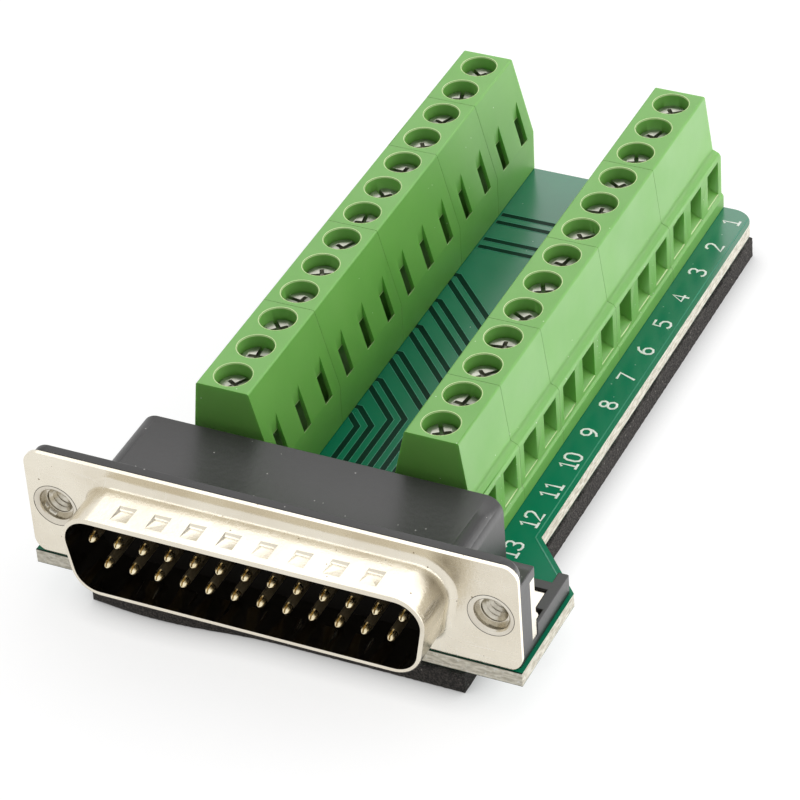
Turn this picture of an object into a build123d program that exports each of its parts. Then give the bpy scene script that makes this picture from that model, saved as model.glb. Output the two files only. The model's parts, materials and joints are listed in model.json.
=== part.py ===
from build123d import *
import os
from math import radians, tan

# A 25-way male D-sub connector soldered to the end of a circuit board that fans
# it out to two rows of rising-clamp screw terminals, with a foam pad underneath.
# +X to the right seen from the connector, +Y from the connector to the far end,
# +Z up from the underside of the pad. The origin is the middle of the pad's base.

# How far a cutting shape runs past what it cuts, and how near counts as touching
overcut = 1.0
touch = 0.01

# Pad, board and their stack
pad_thickness = 2.5
pad_corner = 1.0
pad_setback = 0.65
pad_front_setback = 0.35
pad_side_inset = 0.15
tail_length = 1.0
board_thickness = 1.6
board_bottom = pad_thickness + tail_length
board_top = board_bottom + board_thickness

# Terminal rows
pitch = 5.0
row_offset = 11.36
left_groups = (3, 3, 3, 2, 2)
right_groups = (2, 2, 3, 3, 3)
way_count = sum(left_groups)
block_gap = 0.06
row_setback = 14.0
row_length = way_count * pitch

# Connector face, from the interface standard: 38.96 inside the shell, 47.04
# between the jacks and 53.04 over the flange, all set out from the contacts
contact_counts = (13, 12)
contact_pitch = 2.77
contact_row_gap = 2.84
shell_side_room = 2.86
shell_inner_width = (contact_counts[0] - 1) * contact_pitch + 2 * shell_side_room
shell_inner_height = 8.36
shell_side_angle = 10.0
shell_inner_corner = 2.6
shell_sheet = 0.5
shell_depth = 5.9
shell_root_radius = 0.9
shell_rim_radius = 0.2
jack_offset = 4.04
jack_spacing = shell_inner_width + 2 * jack_offset
flange_margin = 3.0
flange_width = jack_spacing + 2 * flange_margin
flange_height = 12.55
flange_corner = 1.6

# Places along Y and Z that the rest is set from
board_length = row_setback + row_length
flange_y = shell_depth - (shell_depth + board_length) / 2
axis_z = board_top + flange_height / 2
row_front = flange_y + row_setback
end_y = flange_y + board_length

# Board outline
board_lead = 0.15
board_side_inset = 0.02
board_wide = flange_width - 2 * board_side_inset
board_wide_length = 12.5
board_narrow = 40.3
board_taper_length = 6.8
board_corner = 2.6
pad_width = board_narrow - 2 * pad_side_inset
pad_length = board_length - pad_setback - pad_front_setback

# Terminal housing section, across the row and above the board
block_height = 14.0
top_wire_side = 2.95
top_rear_side = 2.85
ledge_inner = 3.75
ledge_outer = 4.5
ledge_height = 7.4
ledge_drop = 0.35
ledge_radius = 0.3
top_radius = 0.25
wall_wire_side = 4.7
bar_wire_side = 4.95
bar_height = 1.6
bar_chamfer = 0.3
knee_rear_side = 5.05
knee_height = 5.0
base_rear_side = 4.95

# Clamping screw
screw_major_radius = 1.25
screw_head_radius = 1.75
screw_head_height = 1.5
screw_head_chamfer = 0.2
screw_slot_width = 0.8
screw_slot_depth = 0.75
screw_seat_gap = 0.05
screw_tip_chamfer = 0.3
shoulder_clearance = 0.12
screw_rest_turn = 37.0

# Voids of one way
screw_head_clearance = 0.15
screw_hole_radius = screw_head_radius + screw_head_clearance
screw_hole_chamfer = 0.06
shoulder_thickness = 0.5
cage_clearance = 0.1
entry_width = 3.1
entry_low = 2.2
entry_sill = 2.9
entry_sill_depth = 1.3
entry_high = 6.5
slot_width = 1.65
slot_low = 5.0
slot_high = 7.6
slot_back = 3.9
slot_sill_drop = 0.6

# Rising clamp, its window as wide as the screw that passes through it
window_clearance = 0.1
cage_wall = 0.6
cage_width = 2 * (screw_major_radius + window_clearance + cage_wall)
cage_depth = 4.2
cage_low = 1.2
cage_floor = 1.0
cage_window = 4.4
cage_top = 0.9
cage_travel = 3.0
cage_top_clearance = 0.2
cage_bend = 0.5
thread_clearance = 0.06

# Fixed terminal strip
strip_width = 2.3
strip_thickness = 0.6
strip_gap = 0.1
leg_offset = 3.6
leg_width = 1.0
leg_room_clearance = 0.15
leg_room_width = strip_width + 2 * leg_room_clearance
rear_wall = 0.4
tail_hole_clearance = 0.25
tail_hole_radius = leg_width / 2 + tail_hole_clearance

# Connector moulding, kept clear of the jacks
jack_room = 3.82
body_half_width = jack_spacing / 2 - jack_room
body_height = 10.3
body_setback = 12.1
body_corner = 1.8
body_wall = 1.9
hollow_clearance = 0.205
insulator_depth = 6.0
plate_thickness = 1.15
plate_inset = 0.42
plate_half_width = flange_width / 2 - plate_inset
plate_corner = 1.8
ear_gap = 0.6
ear_inner = body_half_width + ear_gap
ear_height = 9.45
ear_depth = 2.0
foot_height = 2.3
foot_length = board_wide_length
foot_root = 1.0
foot_wall = 1.15
foot_floor = 0.9
foot_cross_sheet = 1.3
plug_clearance = 0.05

# Contacts
contact_radius = 0.5
contact_reach = 5.14
contact_tip_length = 0.42
contact_brow_radius = 0.38
contact_brow_length = 0.12
contact_nose_radius = 0.15
contact_slit = 0.14
contact_slit_depth = 0.7
contact_bore_clearance = 0.03
contact_tail_width = 0.6
contact_tail_thickness = 0.36
contact_tail_root = 1.0
contact_bend = 0.9
contact_row_tails = (10.5, 7.66)
contact_hole_clearance = 0.2
contact_hole_radius = contact_tail_width / 2 + contact_hole_clearance

# Jack brackets
bracket_sheet = 1.1
bracket_notch_gap = 0.1
bracket_lap = 0.6
bracket_inner = ear_inner + bracket_lap
bracket_outer = plate_half_width - bracket_notch_gap
bracket_height = 8.15
bracket_foot_step = 0.3
bracket_foot_inner = bracket_inner + bracket_foot_step
bracket_foot_outer = plate_half_width - foot_wall - bracket_notch_gap
bracket_foot_rear = 9.5
bracket_tab_reach = 0.75
bracket_tab_length = 1.9
bracket_tab_roundness = 0.9
foot_cross_front = bracket_foot_rear + bracket_notch_gap
foot_cross_rear = foot_cross_front + foot_cross_sheet
thread_radius = 1.42
thread_front = 0.9
sleeve_counterbore = 0.38
sleeve_bore_radius = thread_radius + sleeve_counterbore
sleeve_wall = 0.2
sleeve_radius = sleeve_bore_radius + sleeve_wall
sleeve_flare = 0.45
sleeve_lip_radius = sleeve_radius + sleeve_flare
sleeve_lip_round = 0.4
sleeve_clearance = 0.05
sleeve_stickout = 0.65
sleeve_length = shell_sheet + plate_thickness + ear_depth + bracket_sheet + sleeve_stickout
prong_y = 7.5
prong_spread = 0.85
prong_width = 0.8
prong_thickness = 1.0
prong_barb = 0.25
prong_stickout = 0.9
prong_hole_clearance = 0.35
prong_hole_radius = prong_spread + prong_width / 2 + prong_hole_clearance

# Pressed dents of the shell
dent_counts = (8, 7)
dent_pitch = 3.8
dent_width = 1.8
dent_rear = 2.65
dent_front = 4.95
dent_depth = 0.45

os.makedirs("parts", exist_ok=True)


def block(x0, x1, y0, y1, z0, z1):
    """A cuboid between two corners."""
    centre = Pos((x0 + x1) / 2, (y0 + y1) / 2, (z0 + z1) / 2)
    return centre * Box(x1 - x0, y1 - y0, z1 - z0)


def upright(section, y, length):
    """A section drawn in X and Z, set at y and drawn out along +Y."""
    return Pos(0, y, 0) * extrude(section, amount=length, dir=(0, 1, 0))


def outline_xz(points):
    """A closed face in the XZ plane from (x, z) corners."""
    return make_face(Polyline([(x, 0, z) for x, z in points], close=True))


def save(node, shape):
    """Write one sub-part, a single solid or a group of separate solids."""
    export_step(shape, f"parts/{node}.step")


def group(solids):
    """Separate solids that share one node."""
    return Compound(children=[piece for solid in solids for piece in solid.solids()])


# Rows: a way is drawn about its screw, wires entering from +X, the board at z = 0

def way_places():
    """Name, side and Y of every way, counted from the far end."""
    places = []
    for side_name, side in (("left", -1), ("right", 1)):
        for index in range(way_count):
            y = end_y - (index + 0.5) * pitch
            places.append((f"{side_name}_{index + 1:02d}", side, y))
    return places


def at_way(shape, side, y):
    """Put a shape drawn about a way's screw onto its row."""
    turned = shape if side > 0 else mirror(shape, about=Plane.YZ)
    return Pos(side * row_offset, y, board_top) * turned


cage_half_width = cage_width / 2
cage_half_depth = cage_depth / 2
cage_height = cage_floor + cage_window + cage_top
shoulder_height = cage_low + cage_height + cage_travel + cage_top_clearance
window_high = cage_low + cage_floor + cage_window
strip_top = window_high - strip_gap
strip_low = strip_top - strip_thickness
head_low = shoulder_height + shoulder_thickness + screw_seat_gap
leg_inner = leg_offset - strip_thickness


def block_section():
    """Section of the terminal housing: sloping cheeks, wire-side ledge, rear knee."""
    corners = [
        (-base_rear_side, 0),
        (-knee_rear_side, knee_height),
        (-top_rear_side, block_height),
        (top_wire_side, block_height),
        (ledge_inner, ledge_height),
        (ledge_outer, ledge_height - ledge_drop),
        (wall_wire_side, ledge_height - 2 * ledge_drop),
        (wall_wire_side, bar_height + bar_chamfer),
        (bar_wire_side, bar_height),
        (bar_wire_side, 0),
    ]
    section = outline_xz(corners)
    brow = section.vertices().sort_by_distance((ledge_outer, 0, ledge_height - ledge_drop))[0]
    section = fillet(brow, ledge_radius)
    return fillet(section.vertices().group_by(Axis.Z)[-1], top_radius)


def way_void():
    """Everything that one way takes out of the housing."""
    half_width = cage_half_width + cage_clearance
    half_depth = cage_half_depth + cage_clearance
    cage_room = block(-half_depth, half_depth, -half_width, half_width, -overcut, shoulder_height)
    screw_room = Pos(0, 0, shoulder_height + shoulder_thickness) * Cylinder(
        screw_hole_radius, block_height, align=(Align.CENTER, Align.CENTER, Align.MIN)
    )
    rim_radius = screw_hole_radius + screw_hole_chamfer
    screw_room += Pos(0, 0, block_height - screw_hole_chamfer) * Cone(
        screw_hole_radius, rim_radius + screw_hole_chamfer, 2 * screw_hole_chamfer,
        align=(Align.CENTER, Align.CENTER, Align.MIN),
    )
    shank_room = Pos(0, 0, shoulder_height - overcut) * Cylinder(
        screw_major_radius + shoulder_clearance, shoulder_thickness + 2 * overcut,
        align=(Align.CENTER, Align.CENTER, Align.MIN),
    )
    outside = bar_wire_side + overcut
    sill_slope = (entry_sill - entry_low) / entry_sill_depth
    entry = upright(outline_xz([
        (outside, entry_low - sill_slope * (outside - wall_wire_side)),
        (outside, entry_high),
        (0, entry_high),
        (0, entry_sill),
        (wall_wire_side - entry_sill_depth, entry_sill),
    ]), -entry_width / 2, entry_width)
    behind = knee_rear_side + overcut
    sill_inner = rear_wall - base_rear_side
    slot = upright(outline_xz([
        (-behind, slot_low),
        (-knee_rear_side, slot_low),
        (sill_inner, slot_low - slot_sill_drop),
        (0, slot_low - slot_sill_drop),
        (0, slot_high),
        (-slot_back, slot_high),
        (-slot_back, block_height),
        (-behind, block_height),
    ]), -slot_width / 2, slot_width)
    leg_room = upright(outline_xz([
        (0, -overcut),
        (sill_inner, -overcut),
        (sill_inner, knee_height),
        (-slot_back, slot_high),
        (0, slot_high),
    ]), -leg_room_width / 2, leg_room_width)
    return cage_room + screw_room + shank_room + entry + slot + leg_room


def terminal_block(ways, void, section):
    """One moulding of two or three ways, its first way centred on y = 0."""
    length = ways * pitch - block_gap
    moulding = upright(section, (block_gap - pitch) / 2, length)
    for index in range(ways):
        moulding -= Pos(0, index * pitch, 0) * void
    return moulding


def clamp_cage():
    """Folded sheet cage: a window for wire and strip, its roof tapped for the screw."""
    sheet = upright(outline_xz([
        (-cage_half_depth, cage_low),
        (cage_half_depth, cage_low),
        (cage_half_depth, cage_low + cage_height),
        (-cage_half_depth, cage_low + cage_height),
    ]), -cage_half_width, cage_width)
    sheet = fillet(sheet.edges().filter_by(Axis.X), cage_bend)
    opening_half = cage_half_width - cage_wall
    window_low = cage_low + cage_floor
    sheet -= block(-cage_depth, cage_depth, -opening_half, opening_half, window_low, window_high)
    return sheet - Pos(0, 0, window_high) * Cylinder(
        screw_major_radius + thread_clearance, 2 * (cage_top + overcut)
    )


def clamp_screw():
    """Slotted cheese-head screw: it turns under the shoulder and never rises."""
    head_top = head_low + screw_head_height
    tip_low = strip_top + screw_seat_gap
    half = Polyline([
        (0, 0, tip_low),
        (screw_major_radius - screw_tip_chamfer, 0, tip_low),
        (screw_major_radius, 0, tip_low + screw_tip_chamfer),
        (screw_major_radius, 0, head_low),
        (screw_head_radius, 0, head_low),
        (screw_head_radius, 0, head_top - screw_head_chamfer),
        (screw_head_radius - screw_head_chamfer, 0, head_top),
        (0, 0, head_top),
    ], close=True)
    turned = revolve(make_face(half), Axis.Z)
    slot_half = screw_slot_width / 2
    reach = screw_head_radius + overcut
    return turned - block(-reach, reach, -slot_half, slot_half,
                          head_top - screw_slot_depth, head_top + overcut)


def terminal_strip():
    """Current bar through the cage window, bent down into a solder tail."""
    bar = block(-leg_offset, cage_half_depth, -strip_width / 2, strip_width / 2, strip_low, strip_top)
    neck = block(-leg_offset, -cage_half_depth - cage_clearance,
                 -strip_width, strip_width, strip_low, strip_top)
    leg_half = leg_width / 2
    slim = block(-leg_offset, -leg_inner, -leg_half, leg_half, -board_thickness - tail_length, strip_top)
    reach = block(-leg_offset, 0, -leg_half, leg_half, strip_low, strip_top)
    return (bar - neck) + slim + reach


def circuit_board():
    """The board: full flange width under the connector, then tapered to the rows."""
    front = flange_y - board_lead
    wide = board_wide / 2
    narrow = board_narrow / 2
    taper_y = flange_y + board_wide_length
    half = [(wide, front), (wide, taper_y), (narrow, taper_y + board_taper_length), (narrow, end_y)]
    corners = half + [(-x, y) for x, y in reversed(half)]
    face = make_face(Polyline(corners, close=True))
    face = fillet(face.vertices().group_by(Axis.Y)[-1], board_corner)
    board = Pos(0, 0, board_bottom) * extrude(face, amount=board_thickness)
    drills = [Pos(x, y) * Circle(contact_hole_radius) for x, y in contact_feet()]
    drills += [Pos(side * (row_offset - leg_offset + strip_thickness / 2), y) * Circle(tail_hole_radius)
               for _, side, y in way_places()]
    drills += [Pos(side * jack_spacing / 2, flange_y + prong_y) * Circle(prong_hole_radius)
               for side in (-1, 1)]
    holes = Sketch() + drills
    return board - Pos(0, 0, board_bottom) * extrude(holes, amount=board_thickness)


def foam_pad():
    """Plain foam sheet that the solder tails stand on."""
    middle = end_y - pad_setback - pad_length / 2
    sheet = RectangleRounded(pad_width, pad_length, pad_corner)
    return Pos(0, middle, 0) * extrude(sheet, amount=pad_thickness)


# Connector: drawn about its own axis, the flange's front face at y = 0

def at_flange(shape):
    """Put a shape drawn about the connector's axis onto the board."""
    return Pos(0, flange_y, axis_z) * shape


def d_section(width, height, corner):
    """The D outline, wide side up, its flanks leaning in by the standard angle."""
    half = width / 2
    lean = height * tan(radians(shell_side_angle))
    face = outline_xz([
        (half, height / 2), (-half, height / 2),
        (lean - half, -height / 2), (half - lean, -height / 2),
    ])
    return fillet(face.vertices(), corner)


def plate_section(half_width, corner):
    """Flange outline."""
    face = outline_xz([
        (half_width, flange_height / 2), (-half_width, flange_height / 2),
        (-half_width, -flange_height / 2), (half_width, -flange_height / 2),
    ])
    return fillet(face.vertices(), corner)


shell_outer_width = shell_inner_width + 2 * shell_sheet
shell_outer_height = shell_inner_height + 2 * shell_sheet
shell_outer_corner = shell_inner_corner + shell_sheet


def dent_wedge(sink):
    """One pressed dent seen from the side: a steep rear wall that fades forward."""
    top = shell_outer_height / 2 - sink
    profile = Polyline([
        (0, -dent_rear, top + dent_depth),
        (0, -dent_rear, top - dent_depth),
        (0, -dent_front, top),
        (0, -dent_front, top + dent_depth),
    ], close=True)
    return extrude(make_face(profile), amount=dent_width / 2, dir=(1, 0, 0), both=True)


def dent_bump(sink):
    """The metal that one dent pushes inwards."""
    top = shell_outer_height / 2 - sink
    profile = Polyline([
        (0, -dent_rear, top), (0, -dent_rear, top - dent_depth), (0, -dent_front, top),
    ], close=True)
    return extrude(make_face(profile), amount=dent_width / 2, dir=(1, 0, 0), both=True)


def connector_shell():
    """Drawn steel shell: flange, D-shaped skirt with a rolled root, pressed dents."""
    skirt = upright(d_section(shell_outer_width, shell_outer_height, shell_outer_corner),
                    -shell_depth, shell_depth)
    plate = upright(plate_section(flange_width / 2, flange_corner), 0, shell_sheet)
    shell = skirt + plate
    root = shell.edges().filter_by(lambda edge: abs(edge.center().Y) < touch and
                                   abs(edge.center().X) < shell_outer_width / 2 + touch and
                                   abs(edge.center().Z) < shell_outer_height / 2 + touch)
    shell = fillet(root, shell_root_radius)
    rim = shell.edges().filter_by(lambda edge: abs(edge.center().Y + shell_depth) < touch)
    shell = fillet(rim, shell_rim_radius)
    hollow = d_section(shell_inner_width, shell_inner_height, shell_inner_corner)
    shell -= upright(hollow, -shell_depth - overcut, shell_depth + shell_sheet + 2 * overcut)
    for row, count in enumerate(dent_counts):
        for index in range(count):
            place = Pos((index - (count - 1) / 2) * dent_pitch, 0, 0)
            flip = Rot(0, 180 * row, 0)
            shell += flip * place * dent_bump(shell_sheet)
            shell -= flip * place * dent_wedge(0)
    for side in (-1, 1):
        shell -= Pos(side * jack_spacing / 2, 0, 0) * sleeve_seat()
    return at_flange(shell)


def sleeve_seat():
    """The countersunk hole that a riveted sleeve fills."""
    cone = Polyline([
        (0, -overcut, 0), (sleeve_lip_radius, -overcut, 0), (sleeve_lip_radius, 0, 0),
        (sleeve_radius, shell_sheet, 0), (sleeve_radius, shell_sheet + overcut, 0),
        (0, shell_sheet + overcut, 0),
    ], close=True)
    return revolve(make_face(cone), Axis.Y)


def contact_places():
    """X, Z, foot Y and row of every contact, about the connector's axis."""
    places = []
    for row, count in enumerate(contact_counts):
        z = contact_row_gap * (0.5 - row)
        for index in range(count):
            places.append(((index - (count - 1) / 2) * contact_pitch, z, contact_row_tails[row]))
    return places


def contact_feet():
    """Where the contacts' tails go through the board."""
    return [(x, flange_y + foot_y) for x, _, foot_y in contact_places()]


def contact(x, z, foot_y):
    """Rolled pin with a seam in its bullet tip, its flat tail bent down to the board."""
    shoulder_y = insulator_depth
    half = Polyline([
        (0, -contact_reach, 0),
        (contact_nose_radius, -contact_reach, 0),
        (contact_brow_radius, contact_brow_length - contact_reach, 0),
        (contact_radius, contact_tip_length - contact_reach, 0),
        (contact_radius, shoulder_y, 0),
        (0, shoulder_y, 0),
    ], close=True)
    rod = revolve(make_face(half), Axis.Y)
    seam_half = contact_slit / 2
    rod -= block(-seam_half, seam_half,
                 -contact_reach - overcut, contact_slit_depth - contact_reach, 0, overcut)
    bottom = -board_thickness - tail_length - flange_height / 2 - z
    path = FilletPolyline([
        (0, shoulder_y - contact_tail_root, 0), (0, foot_y, 0), (0, foot_y, bottom),
    ], radius=contact_bend)
    start = Plane(origin=(0, shoulder_y - contact_tail_root, 0), x_dir=(1, 0, 0), z_dir=(0, 1, 0))
    tail = sweep(start * Rectangle(contact_tail_width, contact_tail_thickness), path=path)
    return at_flange(Pos(x, 0, z) * (rod + tail))


def connector_body():
    """Black moulding: insulator, body, flange plate, bracket ears and feet."""
    floor_z = -flange_height / 2
    plate_rear = shell_sheet + plate_thickness
    body = upright(plate_section(plate_half_width, plate_corner), shell_sheet, plate_thickness)
    body += block(-plate_half_width, plate_half_width, shell_sheet, plate_rear, floor_z, 0)
    trunk = outline_xz([
        (body_half_width, floor_z), (body_half_width, floor_z + body_height),
        (-body_half_width, floor_z + body_height), (-body_half_width, floor_z),
    ])
    trunk = fillet(trunk.vertices().group_by(Axis.Z)[-1], body_corner)
    body += upright(trunk, plate_rear, body_setback - plate_rear)
    plug = d_section(shell_inner_width - 2 * plug_clearance,
                     shell_inner_height - 2 * plug_clearance, shell_inner_corner)
    body += upright(plug, 0, shell_sheet)
    for side in (-1, 1):
        body += bracket_foot(side)
        bore = Plane.XZ * (Pos(side * jack_spacing / 2, 0) * Circle(sleeve_radius + sleeve_clearance))
        body -= extrude(bore, amount=sleeve_length, dir=(0, 1, 0))
    hollow_top = contact_row_gap / 2 + contact_radius + hollow_clearance
    body -= block(body_wall - body_half_width, body_half_width - body_wall,
                  insulator_depth, body_setback - body_wall / 2, floor_z - overcut, hollow_top)
    bores = [Pos(x, z) * Circle(contact_radius + contact_bore_clearance) for x, z, _ in contact_places()]
    drill = Plane.XZ * (Sketch() + bores)
    body -= Pos(0, -overcut, 0) * extrude(drill, amount=insulator_depth + 2 * overcut, dir=(0, 1, 0))
    return at_flange(body)


def bracket_foot(side):
    """Ear and foot that hold one jack bracket."""
    floor_z = -flange_height / 2
    plate_rear = shell_sheet + plate_thickness
    ear_rear = plate_rear + ear_depth
    ear = block(ear_inner, plate_half_width, plate_rear, ear_rear, floor_z, floor_z + ear_height)
    ear += block(ear_inner, plate_half_width, ear_rear, ear_rear + bracket_sheet,
                 floor_z + bracket_height, floor_z + ear_height)
    foot = block(body_half_width - foot_root, plate_half_width, plate_rear, foot_cross_rear,
                 floor_z, floor_z + foot_floor)
    wall_inner = plate_half_width - foot_wall
    foot += block(wall_inner, plate_half_width, plate_rear, foot_length, floor_z, floor_z + foot_height)
    foot += block(body_half_width - foot_root, wall_inner, foot_cross_front, foot_cross_rear,
                  floor_z, floor_z + foot_height)
    tab_end = ear_rear + bracket_sheet + bracket_tab_length + bracket_notch_gap
    foot -= block(wall_inner - overcut, bracket_foot_outer + bracket_tab_reach + bracket_notch_gap,
                  ear_rear, tab_end, floor_z + foot_floor, floor_z + foot_height + overcut)
    foot -= block(wall_inner - overcut, bracket_outer + bracket_notch_gap, ear_rear, ear_rear + bracket_sheet,
                  floor_z + foot_floor, floor_z + foot_height + overcut)
    foot -= Pos(jack_spacing / 2, prong_y, floor_z) * Cylinder(prong_hole_radius, 4 * foot_floor)
    piece = ear + foot
    return piece if side > 0 else mirror(piece, about=Plane.YZ)


def jack_bracket(side):
    """Folded bracket with its riveted, tapped sleeve and two board prongs."""
    floor_z = -flange_height / 2
    front = shell_sheet + plate_thickness + ear_depth
    rear = front + bracket_sheet
    low = floor_z + foot_floor
    bracket = block(bracket_inner, bracket_outer, front, rear, low, floor_z + bracket_height)
    bracket += block(bracket_foot_inner, bracket_foot_outer,
                     front, bracket_foot_rear, low, low + bracket_sheet)
    tab_middle = rear + bracket_tab_length / 2
    tab = Pos(bracket_foot_outer, tab_middle, low) * extrude(
        RectangleRounded(2 * bracket_tab_reach, bracket_tab_length, bracket_tab_reach * bracket_tab_roundness),
        amount=bracket_sheet,
    )
    bracket += tab
    prong_low = floor_z - board_thickness - prong_stickout
    for way in (-1, 1):
        outer = way * (prong_spread + prong_width / 2)
        inner = way * (prong_spread - prong_width / 2)
        barb_z = floor_z - board_thickness
        leg = make_face(Polyline([
            (inner, 0, low), (outer, 0, low), (outer, 0, barb_z), (outer + way * prong_barb, 0, barb_z),
            (inner, 0, prong_low),
        ], close=True))
        leg = extrude(leg, amount=prong_thickness / 2, dir=(0, 1, 0), both=True)
        bracket += Pos(jack_spacing / 2, prong_y, 0) * leg
    sleeve = make_face(Polyline([
        (0, 0, 0), (sleeve_lip_radius, 0, 0), (sleeve_radius, shell_sheet, 0),
        (sleeve_radius, sleeve_length, 0), (0, sleeve_length, 0),
    ], close=True))
    bore = make_face(Polyline([
        (0, -overcut, 0), (sleeve_bore_radius, -overcut, 0),
        (sleeve_bore_radius, thread_front, 0), (thread_radius, thread_front, 0),
        (thread_radius, sleeve_length + overcut, 0), (0, sleeve_length + overcut, 0),
    ], close=True))
    centre = Pos(jack_spacing / 2, 0, 0)
    bracket += centre * revolve(sleeve, Axis.Y)
    bracket -= centre * revolve(bore, Axis.Y)
    mouth = bracket.edges().filter_by(GeomType.CIRCLE).group_by(Axis.Y)[0].sort_by(SortBy.LENGTH)[0]
    bracket = fillet(mouth, sleeve_lip_round)
    return at_flange(bracket if side > 0 else mirror(bracket, about=Plane.YZ))


# Pad, board and connector
save("foam_pad", foam_pad())
save("circuit_board", circuit_board())
save("connector_shell", connector_shell())
save("connector_body", connector_body())
save("connector_contacts", group([contact(x, z, foot_y) for x, z, foot_y in contact_places()]))
save("jack_brackets", group([jack_bracket(side) for side in (-1, 1)]))

# Terminal rows
section = block_section()
void = way_void()
housings = []
for side, groups in ((-1, left_groups), (1, right_groups)):
    first = 0
    for ways in groups:
        y = row_front + (first + 0.5) * pitch
        housings.append(at_way(terminal_block(ways, void, section), side, y))
        first += ways
save("terminal_housings", group(housings))
strip = terminal_strip()
save("terminal_strips", group([at_way(strip, side, y) for _, side, y in way_places()]))
cage = clamp_cage()
screw = clamp_screw()
for name, side, y in way_places():
    save(f"clamp_{name}", at_way(cage, side, y))
    turned = Rot(0, 0, screw_rest_turn * int(name[-2:]))
    save(f"screw_{name}", at_way(turned * screw, side, y))
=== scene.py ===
import bmesh
import bpy
import json
from math import cos, pi, radians, sin
from mathutils import Matrix, Vector


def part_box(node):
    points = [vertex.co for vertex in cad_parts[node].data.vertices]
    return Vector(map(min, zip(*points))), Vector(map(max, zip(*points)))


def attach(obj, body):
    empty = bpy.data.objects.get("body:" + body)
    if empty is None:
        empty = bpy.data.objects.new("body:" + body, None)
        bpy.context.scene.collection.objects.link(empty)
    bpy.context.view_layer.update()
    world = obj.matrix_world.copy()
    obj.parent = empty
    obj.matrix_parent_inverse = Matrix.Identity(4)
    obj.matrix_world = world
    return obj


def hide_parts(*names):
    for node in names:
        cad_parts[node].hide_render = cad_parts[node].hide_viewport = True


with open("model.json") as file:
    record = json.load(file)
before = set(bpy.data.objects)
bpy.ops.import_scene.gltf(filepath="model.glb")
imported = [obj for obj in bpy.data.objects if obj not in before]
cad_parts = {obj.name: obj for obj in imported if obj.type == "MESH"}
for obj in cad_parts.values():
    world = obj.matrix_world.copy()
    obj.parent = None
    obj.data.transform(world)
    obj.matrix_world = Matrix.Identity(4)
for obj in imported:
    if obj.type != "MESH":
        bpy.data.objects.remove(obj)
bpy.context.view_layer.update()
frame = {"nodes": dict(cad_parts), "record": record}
nodes = frame["nodes"]


# Foam pad.
# A hand-trimmed sheet of dark closed-cell foam under the board. The cut edge is
# uneven and bulges at the front left, and its upper rim is paler in patches.

pad_corner = 0.001
corner_steps = 4
pad_voxel = 0.0004
pad_grain = 0.0004
pad_raggedness = 0.0001
pad_rim = 0.0003
pad_bulge = 0.001
pad_skew = 0.0008
bulge_depth = 0.004
bulge_middle = -0.013
bulge_half = 0.013


def deselect_all():
    """Leave nothing selected, so that the next operator meets only its own piece."""
    if bpy.context.object and bpy.context.object.mode == "EDIT":
        bpy.ops.object.mode_set(mode="OBJECT")
    bpy.ops.object.select_all(action="DESELECT")


def make_active(piece):
    """Select one piece alone."""
    deselect_all()
    piece.select_set(True)
    bpy.context.view_layer.objects.active = piece


def apply_place(piece):
    """Put a piece's place, turn and size into its mesh."""
    make_active(piece)
    bpy.ops.object.transform_apply(location=True, rotation=True, scale=True)


def add_modifier(piece, kind, **settings):
    """Add one modifier, set it and apply it."""
    make_active(piece)
    modifier = piece.modifiers.new(kind.lower(), kind)
    for setting, value in settings.items():
        setattr(modifier, setting, value)
    bpy.ops.object.modifier_apply(modifier=modifier.name)


def dress(piece, materials, body, slot_name, *replaced):
    """Give a piece its materials, its body and the node that it stands for."""
    piece.data.materials.clear()
    for material in materials:
        piece.data.materials.append(material)
    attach(piece, body)
    if replaced:
        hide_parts(*replaced)


def add_node(tree, kind, values=None, **settings):
    """Add one shader node, set its properties and its unlinked sockets."""
    node = tree.nodes.new(kind)
    for setting, value in settings.items():
        setattr(node, setting, value)
    for socket, value in (values or {}).items():
        node.inputs[socket].default_value = value
    return node


def compute(tree, operation, first, second=0.0):
    """One Math node on a socket and a socket or number."""
    node = add_node(tree, "ShaderNodeMath", operation=operation)
    tree.links.new(first, node.inputs[0])
    if isinstance(second, (int, float)):
        node.inputs[1].default_value = second
    else:
        tree.links.new(second, node.inputs[1])
    return node.outputs[0]


def spread(tree, value, low, high, to_low=0.0, to_high=1.0):
    """Stretch a value from one range to another, clamped."""
    node = add_node(tree, "ShaderNodeMapRange",
                    {"From Min": low, "From Max": high, "To Min": to_low, "To Max": to_high})
    tree.links.new(value, node.inputs["Value"])
    return node.outputs["Result"]


def blend_colour(tree, mask, first, second):
    """Mix two colours, each a tuple or a socket, by a mask."""
    node = add_node(tree, "ShaderNodeMix", data_type="RGBA")
    tree.links.new(mask, node.inputs["Factor"])
    for socket, colour in ((node.inputs[6], first), (node.inputs[7], second)):
        if isinstance(colour, tuple):
            socket.default_value = (*colour, 1)
        else:
            tree.links.new(colour, socket)
    return node.outputs[2]


def axis_value(tree, axis):
    """One Object coordinate of the surface."""
    place = add_node(tree, "ShaderNodeTexCoord").outputs["Object"]
    split = add_node(tree, "ShaderNodeSeparateXYZ")
    tree.links.new(place, split.inputs["Vector"])
    return split.outputs[axis]


def new_effect(name, values):
    """Start an effect that several finishes share: named values in, one mask out."""
    group = bpy.data.node_groups.new(name, "ShaderNodeTree")
    for label, start in values.items():
        socket = group.interface.new_socket(label, in_out="INPUT", socket_type="NodeSocketFloat")
        socket.default_value = start
    group.interface.new_socket("Mask", in_out="OUTPUT", socket_type="NodeSocketFloat")
    given = group.nodes.new("NodeGroupInput").outputs
    result = group.nodes.new("NodeGroupOutput").inputs["Mask"]
    return group, given, result


def effect(tree, group, **values):
    """Place a shared effect in a finish, with the finish's own values."""
    node = add_node(tree, "ShaderNodeGroup", node_tree=group)
    for label, value in values.items():
        node.inputs[label].default_value = value
    return node.outputs["Mask"]


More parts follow.
